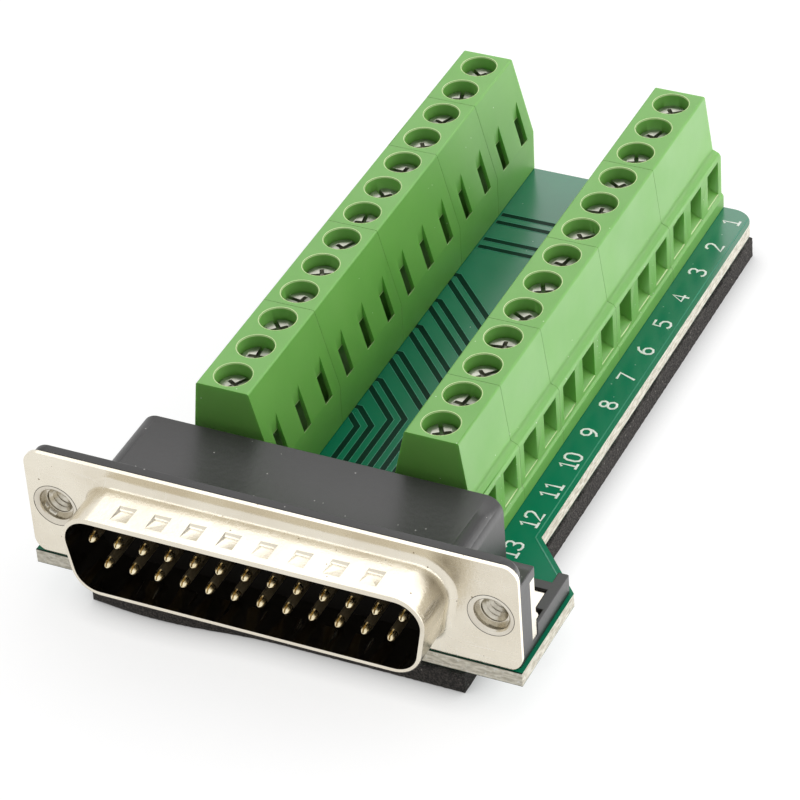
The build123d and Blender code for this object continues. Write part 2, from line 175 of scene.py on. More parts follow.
def new_material(name, colour, roughness, metallic=0.0):
    """A Principled material with its plain values, to be detailed by nodes."""
    material = bpy.data.materials.new(name)
    material.use_nodes = True
    shader = material.node_tree.nodes["Principled BSDF"]
    shader.inputs["Base Color"].default_value = (*colour, 1)
    shader.inputs["Roughness"].default_value = roughness
    shader.inputs["Metallic"].default_value = metallic
    return material, material.node_tree, shader


def paint(tree, shader, mask, first, second):
    """Colour a surface by a mask, between two tones."""
    tree.links.new(blend_colour(tree, mask, first, second), shader.inputs["Base Color"])


def add_bump(tree, shader, height, strength, distance):
    """Give a shader a bump from a height."""
    node = add_node(tree, "ShaderNodeBump", {"Strength": strength, "Distance": distance})
    tree.links.new(height, node.inputs["Height"])
    tree.links.new(node.outputs["Normal"], shader.inputs["Normal"])


mottle, given, result = new_effect(
    "mottle", {"Scale": 100, "Detail": 3, "Low": 0.3, "High": 0.7, "Stretch": 1})
place = add_node(mottle, "ShaderNodeTexCoord").outputs["Object"]
lengths = add_node(mottle, "ShaderNodeCombineXYZ", {"X": 1, "Y": 1})
mottle.links.new(given["Stretch"], lengths.inputs["Z"])
mapping = add_node(mottle, "ShaderNodeMapping")
mottle.links.new(place, mapping.inputs["Vector"])
mottle.links.new(lengths.outputs["Vector"], mapping.inputs["Scale"])
cloud = add_node(mottle, "ShaderNodeTexNoise", {"Roughness": 0.55})
mottle.links.new(mapping.outputs["Vector"], cloud.inputs["Vector"])
mottle.links.new(given["Scale"], cloud.inputs["Scale"])
mottle.links.new(given["Detail"], cloud.inputs["Detail"])
band = add_node(mottle, "ShaderNodeMapRange")
mottle.links.new(cloud.outputs["Fac"], band.inputs["Value"])
mottle.links.new(given["Low"], band.inputs["From Min"])
mottle.links.new(given["High"], band.inputs["From Max"])
mottle.links.new(band.outputs["Result"], result)

dust, given, result = new_effect("dust_specks", {"Scale": 400, "Size": 0.06, "Share": 0.05})
place = add_node(dust, "ShaderNodeTexCoord").outputs["Object"]
cells = add_node(dust, "ShaderNodeTexVoronoi")
dust.links.new(place, cells.inputs["Vector"])
dust.links.new(given["Scale"], cells.inputs["Scale"])
picked = add_node(dust, "ShaderNodeSeparateColor")
dust.links.new(cells.outputs["Color"], picked.inputs["Color"])
near = compute(dust, "LESS_THAN", cells.outputs["Distance"], given["Size"])
chosen = compute(dust, "LESS_THAN", picked.outputs["Red"], given["Share"])
dust.links.new(compute(dust, "MULTIPLY", near, chosen), result)

pad_low, pad_high = (Vector(corner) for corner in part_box("foam_pad"))
deselect_all()
bpy.ops.mesh.primitive_cube_add(size=1, location=(pad_low + pad_high) / 2, scale=pad_high - pad_low)
pad = bpy.context.object
pad.name = "foam_sheet"
apply_place(pad)
bpy.ops.object.mode_set(mode="EDIT")
bpy.ops.mesh.select_all(action="DESELECT")
editing = bmesh.from_edit_mesh(pad.data)
for edge in editing.edges:
    edge.select = abs(edge.verts[0].co.z - edge.verts[1].co.z) > pad_corner
bmesh.update_edit_mesh(pad.data)
bpy.ops.mesh.bevel(offset=pad_corner, segments=corner_steps)
bpy.ops.object.mode_set(mode="OBJECT")
add_modifier(pad, "REMESH", mode="VOXEL", voxel_size=pad_voxel)
for corner in pad.data.vertices:
    near = 1 - (corner.co.y - pad_low.y) / bulge_depth
    across = (corner.co.x - bulge_middle) / bulge_half
    if near > 0 and abs(across) < 1:
        corner.co.y -= pad_bulge * near * cos(pi / 2 * across) ** 2
    if near > 0:
        corner.co.x -= pad_skew * near * max(0, corner.co.x / pad_low.x)
ragged = bpy.data.textures.new("ragged_cut", "CLOUDS")
ragged.noise_scale = pad_grain
ragged.noise_depth = 2
add_modifier(pad, "DISPLACE", texture=ragged, texture_coords="LOCAL",
             strength=-pad_raggedness, mid_level=0.1)
for corner in pad.data.vertices:
    corner.co.z = min(max(corner.co.z, pad_low.z), pad_high.z)
make_active(pad)
bpy.ops.object.shade_smooth()

foam, tree, shader = new_material("dark_foam", (0.05, 0.043, 0.04), 0.92)
cells = effect(tree, mottle, Scale=4500, Detail=3, Low=0.4, High=0.62)
tone = blend_colour(tree, cells, (0.02, 0.018, 0.017), (0.095, 0.084, 0.077))
pale_rim = spread(tree, axis_value(tree, "Z"), pad_high.z - pad_rim, pad_high.z - 0.2 * pad_rim)
pale_rim = compute(tree, "MULTIPLY", pale_rim, effect(tree, mottle, Scale=420, Detail=4, Low=0.45, High=0.62))
tone = blend_colour(tree, compute(tree, "MULTIPLY", pale_rim, 0.5), tone, (0.24, 0.22, 0.2))
paint(tree, shader, effect(tree, dust, Scale=1100, Size=0.12, Share=0.12), tone, (0.3, 0.28, 0.25))
add_bump(tree, shader, cells, 0.9, 0.00015)
dress(pad, [foam], "adapter", "foam_dark", "foam_pad")


# Circuit board.
# Glass-epoxy sheet with green solder mask over the copper on both faces. The
# routed edge shows the bare, fibrous laminate.

board_low, board_high = (Vector(corner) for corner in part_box("circuit_board"))
board_top = board_high.z
mask_skin = 0.00003
lip_shade = 0.00012
sheen_start = -0.01
sheen_end = 0.04

board_finish, tree, shader = new_material("solder_mask", (0.008, 0.15, 0.075), 0.28)
green = blend_colour(tree, effect(tree, mottle, Scale=60, Detail=4),
                     (0.003, 0.165, 0.083), (0.005, 0.205, 0.103))
green = blend_colour(tree, effect(tree, dust, Scale=1000, Size=0.07, Share=0.12),
                     green, (0.25, 0.5, 0.4))
fibres = effect(tree, mottle, Scale=900, Detail=4, Low=0.38, High=0.62, Stretch=3.5)
flecks = effect(tree, mottle, Scale=2400, Detail=2, Low=0.58, High=0.7)
laminate = blend_colour(tree, fibres, (0.6, 0.56, 0.46), (0.92, 0.88, 0.76))
laminate = blend_colour(tree, flecks, laminate, (0.9, 0.88, 0.82))
length = axis_value(tree, "Y")
# A dark strip along the board's front edge, under the flange, is painted shadow.
flange_shadow = spread(tree, length, board_low.y + lip_shade, board_low.y + 1.5 * lip_shade, 1.0, 0.0)
green = blend_colour(tree, flange_shadow, green, (0.002, 0.03, 0.018))
height = axis_value(tree, "Z")
above = spread(tree, height, board_top - 2 * mask_skin, board_top - mask_skin)
below = spread(tree, height, board_low.z + mask_skin, board_low.z + 2 * mask_skin, 1.0, 0.0)
masked = compute(tree, "MAXIMUM", above, below)
paint(tree, shader, masked, laminate, green)
tree.links.new(spread(tree, masked, 0, 1, 0.85, 0.24), shader.inputs["Roughness"])
rough_edge = compute(tree, "MULTIPLY", fibres, spread(tree, masked, 0, 1, 1, 0.04))
add_bump(tree, shader, rough_edge, 0.35, 0.0001)
# The mask's specular strength rises from the front of the board to the back, a painted sheen.
tree.links.new(spread(tree, length, sheen_start, sheen_end, 0.1, 0.9), shader.inputs["Specular IOR Level"])
board = nodes["circuit_board"]
board.data.materials.clear()
board.data.materials.append(board_finish)

# Tracks and isolation lines on the board.
# The copper pour is cut by dark gaps on both sides of each track that runs from
# a terminal, at 45 degrees, to its contact's lane and on to the connector.

pitch = 0.005
way_count = 13
first_track = 3
last_track = 8
middle_track = 4.5
contact_pitch = 0.00277
row_end = board_high.y
row_inner = 0.0062
lane_end = -0.0262
line_lift = 0.000005
line_height = 0.00002
gap_width = 0.00064
track_half = 0.00068
bridge_half = 0.00075
bridges = (0.0321, 0.0272)
pour_outline = ((0.0265, -0.0362), (0.0265, -0.02405), (0.02015, -0.01725), (0.02015, 0.0412))
pour_inset = 0.00055
pour_width = 0.00014
burr_width = 0.00007


def beside(path, shift):
    """A copy of a track's path, moved to one side with its corners kept."""
    moved = []
    for index, point in enumerate(path):
        here = Vector(point)
        before = (here - Vector(path[index - 1])).normalized() if index else None
        after = (Vector(path[index + 1]) - here).normalized() if index + 1 < len(path) else None
        before, after = before or after, after or before
        side = Vector((-before.y - after.y, before.x + after.x)).normalized()
        reach = shift / side.dot(Vector((-before.y, before.x)))
        moved.append(tuple(here + side * reach))
    return moved


def lay_strips(name, paths, width, material):
    """Thin flat strips on the board top, one along each path."""
    drawing = bmesh.new()
    for path in paths:
        rails = [[drawing.verts.new((x, y, board_top + line_lift)) for x, y in beside(path, shift)]
                 for shift in (-width / 2, width / 2)]
        for index in range(len(path) - 1):
            drawing.faces.new((rails[0][index], rails[0][index + 1], rails[1][index + 1], rails[1][index]))
    mesh = bpy.data.meshes.new(name)
    drawing.to_mesh(mesh)
    drawing.free()
    piece = bpy.data.objects.new(name, mesh)
    bpy.context.collection.objects.link(piece)
    add_modifier(piece, "SOLIDIFY", thickness=line_height, offset=1)
    bpy.ops.object.mode_set(mode="EDIT")
    bpy.ops.mesh.select_all(action="SELECT")
    bpy.ops.mesh.normals_make_consistent(inside=False)
    bpy.ops.object.mode_set(mode="OBJECT")
    dress(piece, [material], "adapter", "solder_mask_green")


gap_finish, tree, shader = new_material("isolation_gap", (0.002, 0.045, 0.024), 0.26)
paint(tree, shader, effect(tree, mottle, Scale=300), (0.001, 0.024, 0.013), (0.002, 0.038, 0.021))
shader.inputs["Specular IOR Level"].default_value = 0.06
gaps = []
for way in range(first_track, last_track + 1):
    start_y = row_end - (way_count - 0.5 - way) * pitch
    lane_x = (way - middle_track) * contact_pitch
    turn_y = start_y - (lane_x + row_inner)
    track = [(-row_inner - contact_pitch / 2, start_y), (-row_inner, start_y),
             (lane_x, turn_y), (lane_x, lane_end)]
    gaps += [beside(track, -track_half), beside(track, track_half)]
for middle in bridges:
    gaps += [[(-row_inner, middle + side * bridge_half), (row_inner, middle + side * bridge_half)]
             for side in (-1, 1)]
lay_strips("isolation_gaps", gaps, gap_width, gap_finish)

pour_finish, tree, shader = new_material("pour_edge", (0.02, 0.2, 0.11), 0.26)
paint(tree, shader, effect(tree, mottle, Scale=300), (0.02, 0.24, 0.14), (0.05, 0.34, 0.22))
rims = [[(side * x, y) for x, y in beside(pour_outline, pour_inset)] for side in (-1, 1)]
lay_strips("copper_pour_rims", rims, pour_width, pour_finish)
burrs = [beside(gap, side * (gap_width + burr_width) / 2) for gap in gaps for side in (-1, 1)]
lay_strips("copper_edges", burrs, burr_width, pour_finish)

# Way numbers.
# White printing beside every terminal, drawn with a round pen: 1 to 13 down the
# right edge and 14 to 25 up the left, each read from its own side.

digit_height = 0.00185
digit_pitch = 0.00135
digit_width = 0.6
pen_radius = 0.00014
print_flatness = 0.12
number_x = 0.0181
contact_total = 25
strokes = {
    "0": [[(0.3, 1), (0.1, 0.93), (0, 0.72), (0, 0.28), (0.1, 0.07), (0.3, 0), (0.5, 0.07),
           (0.6, 0.28), (0.6, 0.72), (0.5, 0.93), (0.3, 1)]],
    "1": [[(0.1, 0.8), (0.32, 1), (0.32, 0)], [(0.08, 0), (0.56, 0)]],
    "2": [[(0.02, 0.78), (0.1, 0.95), (0.3, 1), (0.5, 0.94), (0.58, 0.76), (0.5, 0.56), (0, 0), (0.6, 0)]],
    "3": [[(0.02, 0.84), (0.14, 0.97), (0.32, 1), (0.52, 0.93), (0.58, 0.76), (0.5, 0.58), (0.28, 0.53),
           (0.52, 0.46), (0.6, 0.26), (0.52, 0.07), (0.3, 0), (0.1, 0.04), (0, 0.17)]],
    "4": [[(0.45, 0), (0.45, 1), (0, 0.32), (0.64, 0.32)]],
    "5": [[(0.56, 1), (0.08, 1), (0.04, 0.56), (0.3, 0.64), (0.52, 0.55), (0.6, 0.33), (0.52, 0.09),
           (0.3, 0), (0.1, 0.03), (0, 0.15)]],
    "6": [[(0.5, 0.98), (0.24, 0.86), (0.05, 0.58), (0, 0.3), (0.1, 0.07), (0.3, 0), (0.52, 0.08),
           (0.6, 0.3), (0.5, 0.52), (0.3, 0.58), (0.1, 0.5), (0.01, 0.34)]],
    "7": [[(0, 1), (0.6, 1), (0.22, 0)]],
    "8": [[(0.3, 0.54), (0.1, 0.63), (0.05, 0.78), (0.12, 0.94), (0.3, 1), (0.48, 0.94), (0.55, 0.78),
           (0.5, 0.63), (0.3, 0.54), (0.08, 0.44), (0, 0.26), (0.08, 0.07), (0.3, 0), (0.52, 0.07),
           (0.6, 0.26), (0.52, 0.44), (0.3, 0.54)]],
    "9": [[(0.1, 0.02), (0.36, 0.14), (0.55, 0.42), (0.6, 0.7), (0.5, 0.93), (0.3, 1), (0.08, 0.92),
           (0, 0.7), (0.1, 0.48), (0.3, 0.42), (0.5, 0.5), (0.59, 0.66)]],
}
print_white, tree, shader = new_material("board_print", (0.86, 0.87, 0.85), 0.6)
paint(tree, shader, effect(tree, mottle, Scale=1800, High=0.6), (0.78, 0.82, 0.8), (0.93, 0.94, 0.92))


def number_strokes(text, side, y):
    """The pen's runs for one number, its foot towards the board's edge."""
    width = (len(text) - 1) * digit_pitch + digit_width * digit_height
    runs = []
    for place, digit in enumerate(text):
        for stroke in strokes[digit]:
            run = []
            for across, up in stroke:
                along = place * digit_pitch + across * digit_height - width / 2
                out = number_x + (0.5 - up) * digit_height
                run.append((side * out, y + side * along))
            runs.append(run)
    return runs


numbers = []
for way in range(way_count):
    y = row_end - (way + 0.5) * pitch
    numbers += number_strokes(str(way + 1), 1, y)
    if way:
        numbers += number_strokes(str(contact_total + 1 - way), -1, y)
drawing = bpy.data.curves.new("way_numbers", "CURVE")
drawing.dimensions = "3D"
drawing.bevel_depth = pen_radius
drawing.bevel_resolution = 2
drawing.use_fill_caps = True
for number in numbers:
    run = drawing.splines.new("POLY")
    run.points.add(len(number) - 1)
    for point, (x, y) in zip(run.points, number):
        point.co = (x, y, 0, 1)
printed = bpy.data.objects.new("way_numbers", drawing)
bpy.context.collection.objects.link(printed)
make_active(printed)
bpy.ops.object.convert(target="MESH")
printed = bpy.context.object
printed.scale.z = print_flatness
printed.location.z = board_top + line_lift
apply_place(printed)
dress(printed, [print_white], "adapter", "solder_mask_green")


# Connector shell.
# Deep-drawn, tin-plated steel: the flange, the D-shaped skirt with its rolled
# root and rim, and the pressed dents that grip the mating shell.

shell_sheet = 0.0005
skirt_half_height = 0.00468
skirt_half_width = 0.01998
shell_depth = 0.0059
rim_roll = 0.0002
connector_axis = 0.011375
dent_rear = 0.00265
dent_depth = 0.00045
dent_lean = 0.00032
shell_round = 0.00003
reflection_fade = 0.004
reflection_root = 0.0014
reflection_start = 0.0165
reflection_end = 0.0185
merge_distance = 0.000002
flat_angle = 0.8
sharp_angle = 35
smooth_angle = 50
flange_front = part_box("connector_shell")[1][1] - shell_sheet


def merged_copy(node, name):
    """A copy of a node's mesh with its triangles joined back into whole faces."""
    deselect_all()
    piece = nodes[node].copy()
    piece.data = nodes[node].data.copy()
    piece.name = name
    bpy.context.collection.objects.link(piece)
    make_active(piece)
    bpy.ops.object.mode_set(mode="EDIT")
    bpy.ops.mesh.select_all(action="SELECT")
    bpy.ops.mesh.remove_doubles(threshold=merge_distance)
    bpy.ops.mesh.dissolve_limited(angle_limit=radians(flat_angle))
    bpy.ops.object.mode_set(mode="OBJECT")
    return piece


def round_edges(piece, width, wanted=None, finish=-1):
    """Round a piece's sharp outward edges, or those of them that wanted() picks."""
    editing = bmesh.new()
    editing.from_mesh(piece.data)
    layers = editing.edges.layers.float
    weight = layers.get("bevel_weight_edge") or layers.new("bevel_weight_edge")
    for edge in editing.edges:
        sharp = edge.is_convex and edge.calc_face_angle(0) > radians(sharp_angle)
        edge[weight] = 1.0 if sharp and (wanted is None or wanted(edge)) else 0.0
    editing.to_mesh(piece.data)
    editing.free()
    add_modifier(piece, "BEVEL", width=width, segments=2, limit_method="WEIGHT",
                 use_clamp_overlap=False, material=finish)


def finish_shading(piece):
    """Shade curves smooth and keep the large flat faces flat."""
    make_active(piece)
    bpy.ops.object.shade_smooth_by_angle(angle=radians(smooth_angle))
    add_modifier(piece, "WEIGHTED_NORMAL", mode="FACE_AREA", weight=90, keep_sharp=True)


scratches, given, result = new_effect("fine_scratches", {"Scale": 300, "Depth": 1})
place = add_node(scratches, "ShaderNodeTexCoord").outputs["Object"]
marks = []
for turn, stretch in ((20, (1, 1, 16)), (65, (14, 1, 1))):
    mapping = add_node(scratches, "ShaderNodeMapping",
                       {"Scale": stretch, "Rotation": (0, radians(turn), radians(turn))})
    scratches.links.new(place, mapping.inputs["Vector"])
    streak = add_node(scratches, "ShaderNodeTexNoise", {"Detail": 4, "Roughness": 0.6})
    scratches.links.new(mapping.outputs["Vector"], streak.inputs["Vector"])
    scratches.links.new(given["Scale"], streak.inputs["Scale"])
    marks.append(spread(scratches, streak.outputs["Fac"], 0.6, 0.72))
worst = compute(scratches, "MAXIMUM", marks[0], marks[1])
scratches.links.new(compute(scratches, "MULTIPLY", worst, given["Depth"]), result)

tinned, tree, shader = new_material("tinned_shell", (0.78, 0.71, 0.58), 0.28, 1.0)
tone = blend_colour(tree, effect(tree, mottle, Scale=120, Detail=5, High=0.75),
                    (0.82, 0.77, 0.655), (0.7, 0.64, 0.525))
tone = blend_colour(tree, effect(tree, dust, Scale=1200, Size=0.12, Share=0.1), tone, (0.3, 0.25, 0.18))
scuffs = effect(tree, scratches, Scale=260, Depth=1)
tone = blend_colour(tree, compute(tree, "MULTIPLY", scuffs, 0.35), tone, (0.9, 0.87, 0.8))
length = axis_value(tree, "Y")
# Dark streaks towards the skirt's root at its right-hand corner are a painted reflection of dark
# surroundings.
corner_reflection = spread(tree, length, flange_front - reflection_fade, flange_front - reflection_root, 0.25, 1.0)
root = spread(tree, length, flange_front - reflection_root, flange_front - 0.2 * reflection_root, 1.0, 0.0)
corner_reflection = compute(tree, "MULTIPLY", corner_reflection, root)
corner_reflection = compute(tree, "MULTIPLY", corner_reflection, spread(tree, axis_value(tree, "X"), reflection_start, reflection_end))
reflection_streaks = effect(tree, mottle, Scale=70, Detail=1, Low=0.38, High=0.66, Stretch=6)
paint(tree, shader, compute(tree, "MULTIPLY", corner_reflection, reflection_streaks), tone, (0.2, 0.17, 0.12))
rough = compute(tree, "ADD", effect(tree, mottle, Scale=500, Detail=4), scuffs)
tree.links.new(spread(tree, rough, 0, 2, 0.2, 0.42), shader.inputs["Roughness"])
add_bump(tree, shader, effect(tree, mottle, Scale=2500), 0.08, 0.00008)
shell_piece = merged_copy("connector_shell", "drawn_shell")
for corner in shell_piece.data.vertices:
    sunk = (skirt_half_height - abs(corner.co.z - connector_axis)) % shell_sheet
    at_floor = abs(sunk - dent_depth) < 0.1 * dent_depth
    if at_floor and abs(corner.co.y - flange_front + dent_rear) < 2 * merge_distance:
        corner.co.y -= dent_lean
round_edges(shell_piece, shell_round)
finish_shading(shell_piece)
# Inside the skirt the tin is smoother and darker; the darker colour is painted shade.
shaded_inner_tin, tree, shader = new_material("inner_skirt_shade", (0.4, 0.37, 0.31), 0.16, 1.0)
paint(tree, shader, effect(tree, mottle, Scale=300), (0.4, 0.37, 0.31), (0.3, 0.27, 0.22))
# The rim's underside gets a dark tin: painted shade and a painted dark reflection.
rim_shade, tree, shader = new_material("painted_rim_shade", (0.12, 0.11, 0.09), 0.5, 1.0)
paint(tree, shader, effect(tree, mottle, Scale=600), (0.16, 0.14, 0.12), (0.08, 0.07, 0.06))
dress(shell_piece, [tinned, shaded_inner_tin, rim_shade], "adapter", "tinned_steel", "connector_shell")
for face in shell_piece.data.polygons:
    ahead = flange_front - face.center.y
    up = face.center.z - connector_axis
    if abs(face.center.x) < skirt_half_width and abs(up) < skirt_half_height and 0 < ahead < shell_depth:
        # Faces inside the skirt take the darker tin, painted shade.
        if face.normal.x * face.center.x + face.normal.z * up < 0 and abs(face.normal.y) < 0.3:
            face.material_index = 1
        # Downward faces at the rim take the painted shade.
        elif ahead > shell_depth - rim_roll and face.normal.z < -0.3:
            face.material_index = 2


# Contacts.
# Twenty-five rolled brass pins, flashed with gold, standing in the black
# insulator in a row of thirteen over a row of twelve.

pin_radius = 0.0005
pin_reach = 0.00514
pin_root = 0.001
tip_length = 0.00095
tip_rings = 7
tip_sweep = 80
pin_sides = 20
seam_width = 0.00017
seam_length = 0.0011
contact_counts = (13, 12)
contact_row_gap = 0.00284


def grow(rise, scale=1.0):
    """Extrude the selected end and resize it, as on a lathe."""
    bpy.ops.mesh.extrude_region_move(TRANSFORM_OT_translate={"value": (0, 0, rise)})
    if scale != 1.0:
        bpy.ops.transform.resize(value=(scale, scale, 1), center_override=(0, 0, 0))


gold, tree, shader = new_material("gold_flash", (0.6, 0.5, 0.32), 0.24, 1.0)
# The tips are painted brighter gold as a highlight, and the shafts behind them dark brown as shade.
tone = blend_colour(tree, effect(tree, mottle, Scale=900), (0.95, 0.86, 0.62), (0.8, 0.68, 0.44))
shaded_shaft = spread(tree, axis_value(tree, "Y"), flange_front - pin_reach + tip_length,
                flange_front - pin_reach + 1.4 * tip_length)
paint(tree, shader, shaded_shaft, tone, (0.36, 0.29, 0.18))
tree.links.new(spread(tree, shaded_shaft, 0, 1, 0.24, 0.5), shader.inputs["Roughness"])
deselect_all()
bpy.ops.mesh.primitive_circle_add(vertices=pin_sides, radius=pin_radius, fill_type="NGON")
pin = bpy.context.object
bpy.ops.object.mode_set(mode="EDIT")
bpy.ops.mesh.select_all(action="SELECT")
grow(pin_reach - tip_length + pin_root)
for step in range(tip_rings):
    here, there = (radians(tip_sweep) * ring / tip_rings for ring in (step, step + 1))
    grow(tip_length * (sin(there) - sin(here)), cos(there) / cos(here))
bpy.ops.mesh.select_all(action="SELECT")
bpy.ops.mesh.normals_make_consistent(inside=False)
bpy.ops.object.mode_set(mode="OBJECT")
bpy.ops.mesh.primitive_cube_add(size=1, location=(0, pin_radius, pin_reach + pin_root),
                                scale=(seam_width, 2 * pin_radius, 2 * seam_length))
blade = bpy.context.object
apply_place(blade)
add_modifier(pin, "BOOLEAN", object=blade, operation="DIFFERENCE", solver="EXACT")
bpy.data.objects.remove(blade)
add_modifier(pin, "BEVEL", width=0.1 * pin_radius, segments=2,
             limit_method="ANGLE", angle_limit=radians(smooth_angle))
pin.rotation_euler.x = radians(90)
apply_place(pin)
make_active(pin)
bpy.ops.object.shade_smooth_by_angle(angle=radians(smooth_angle))
contact_piece = merged_copy("connector_contacts", "gold_contacts")
bpy.ops.object.mode_set(mode="EDIT")
bpy.ops.mesh.select_all(action="SELECT")
bpy.ops.mesh.bisect(plane_co=(0, flange_front + pin_root, 0), plane_no=(0, -1, 0),
                    use_fill=True, clear_outer=True)
bpy.ops.object.mode_set(mode="OBJECT")
bpy.ops.object.shade_smooth_by_angle(angle=radians(smooth_angle))
for row, count in enumerate(contact_counts):
    for place in range(count):
        copy = pin.copy()
        copy.data = pin.data.copy()
        bpy.context.collection.objects.link(copy)
        copy.location = ((place - (count - 1) / 2) * contact_pitch, flange_front + pin_root,
                         connector_axis + (0.5 - row) * contact_row_gap)
        apply_place(copy)
        contact_piece.select_set(True)
        bpy.context.view_layer.objects.active = contact_piece
        bpy.ops.object.join()
bpy.data.objects.remove(pin)
dress(contact_piece, [gold], "adapter", "gold_plated_brass", "connector_contacts")


# Connector body.
# Injection-moulded black glass-filled plastic with a fine matt skin, a few
# light dust specks and slightly rounded edges.

body_round = 0.00014

black, tree, shader = new_material("black_moulding", (0.02, 0.019, 0.019), 0.45)
haze = effect(tree, mottle, Scale=70, Detail=4)
tone = blend_colour(tree, haze, (0.013, 0.0125, 0.0125), (0.021, 0.0195, 0.019))
paint(tree, shader, effect(tree, dust, Scale=1100, Size=0.09, Share=0.22), tone, (0.36, 0.35, 0.33))
tree.links.new(spread(tree, haze, 0, 1, 0.32, 0.42), shader.inputs["Roughness"])
add_bump(tree, shader, effect(tree, mottle, Scale=1500, Detail=4), 0.12, 0.00006)
# The insulator's face inside the shell is a darker, barely shiny copy of the black moulding: painted shade.
insulator_shade, tree, shader = new_material("insulator_shade_face", (0.004, 0.0037, 0.0035), 0.6)
paint(tree, shader, effect(tree, mottle, Scale=200), (0.006, 0.0053, 0.0046), (0.011, 0.0098, 0.0085))
shader.inputs["Specular IOR Level"].default_value = 0.08
body_piece = merged_copy("connector_body", "black_body")
round_edges(body_piece, body_round, lambda edge: edge.verts[0].co.y > flange_front + shell_sheet / 2)
finish_shading(body_piece)
dress(body_piece, [black, insulator_shade], "adapter", "black_thermoplastic", "connector_body")
# Faces in front of the flange take the painted shade.
for face in body_piece.data.polygons:
    if face.center.y < flange_front + 0.1 * shell_sheet:
        face.material_index = 1


# Jack brackets.
# Folded, tin-plated strip with a riveted, tapped sleeve for the jackscrew and a
# pair of barbed prongs that snap into the board.

bore_radius = 0.00181
bracket_round = 0.00005

plated, tree, shader = new_material("bright_plating", (0.72, 0.68, 0.59), 0.26, 1.0)
paint(tree, shader, effect(tree, mottle, Scale=200, Detail=4), (0.76, 0.72, 0.63), (0.6, 0.55, 0.46))
tree.links.new(spread(tree, effect(tree, scratches, Scale=300), 0, 1, 0.2, 0.4), shader.inputs["Roughness"])
# The bore and the threads in it are a darker copy of the plating, painted shade inside the sleeve.
shaded_bore, tree, shader = new_material("bore_shade", (0.55, 0.52, 0.44), 0.22, 1.0)
paint(tree, shader, effect(tree, mottle, Scale=900), (0.68, 0.64, 0.55), (0.42, 0.39, 0.32))
bracket_piece = merged_copy("jack_brackets", "plated_brackets")
round_edges(bracket_piece, bracket_round)
finish_shading(bracket_piece)
dress(bracket_piece, [plated, shaded_bore], "adapter", "zinc_plated_bracket", "jack_brackets")
jack = next(mount for mount in frame["record"]["mounts"] if mount["name"] == "jackscrew_right")
# Faces inside the bore take the painted shade.
for face in bracket_piece.data.polygons:
    out = Vector((abs(face.center.x) - jack["pos_m"][0], face.center.z - jack["pos_m"][2]))
    if out.length < bore_radius and abs(face.normal.y) < 0.5:
        face.material_index = 1

# Jackscrew threads.
# The tapped wall inside each sleeve: one rising ridge that a tap cut in the
# soft, plated metal.

thread_pitch = 0.000635
thread_wall = 0.00144
thread_crest = 0.00112
thread_half = 0.00029
thread_steps = 36

deselect_all()
bpy.ops.mesh.primitive_circle_add(vertices=3, radius=thread_crest, fill_type="NOTHING")
ridge = bpy.context.object
ridge.name = "right_jackscrew_thread"
section = ((thread_crest, 0), (thread_wall, -thread_half), (thread_wall, thread_half))
for corner, (x, z) in zip(ridge.data.vertices, section):
    corner.co = (x, 0, z)
add_modifier(ridge, "SCREW", axis="Z", screw_offset=thread_pitch,
             steps=thread_steps, render_steps=thread_steps, use_normal_calculate=True,
             iterations=int(jack["dims"]["length_mm"] / 1000 / thread_pitch))
ridge.rotation_euler.x = radians(-90)
ridge.location = Vector(jack["pos_m"]) + Vector((0, thread_half, 0))
apply_place(ridge)
bpy.ops.object.mode_set(mode="EDIT")
bpy.ops.mesh.select_all(action="SELECT")
bpy.ops.mesh.edge_face_add()
bpy.ops.mesh.normals_make_consistent(inside=False)
bpy.ops.object.mode_set(mode="OBJECT")
bpy.ops.object.shade_smooth_by_angle(angle=radians(smooth_angle))
other = ridge.copy()
other.data = ridge.data.copy()
other.name = "left_jackscrew_thread"
bpy.context.collection.objects.link(other)
other.data.transform(Matrix.Translation((-2 * jack["pos_m"][0], 0, 0)))
# The threads take the same painted shade.
for piece in (ridge, other):
    dress(piece, [shaded_bore], "adapter", "zinc_plated_bracket")

# Riveting seams.
# The hairline where each sleeve's flared lip meets the flange, a thin dark
# ring of painted shade.

seam_radius = 0.00243
seam_thickness = 0.00003
seam_steps = 64

# A near-black ring of painted shade.
seam_shade, tree, shader = new_material("rivet_seam_shade", (0.03, 0.027, 0.022), 0.6)
paint(tree, shader, effect(tree, mottle, Scale=600), (0.02, 0.018, 0.015), (0.08, 0.07, 0.055))
for side, label in ((-1, "left"), (1, "right")):
    deselect_all()
    bpy.ops.mesh.primitive_torus_add(major_radius=seam_radius, minor_radius=seam_thickness,
                                     major_segments=seam_steps, minor_segments=6,
                                     rotation=(radians(90), 0, 0),
                                     location=(side * jack["pos_m"][0], flange_front, jack["pos_m"][2]))
    seam = bpy.context.object
    seam.name = label + "_rivet_seam"
    apply_place(seam)
    dress(seam, [seam_shade], "adapter", "zinc_plated_bracket")


# Terminal housings.
# Bright green polyamide mouldings of two or three ways, butted into two rows.
# The plastic is slightly translucent. Hole rims carry a pale painted highlight.

rim_round = 0.00008
edge_round = 0.00012
rim_reach = 0.004
end_face_area = 0.00005
bar_top = 0.002

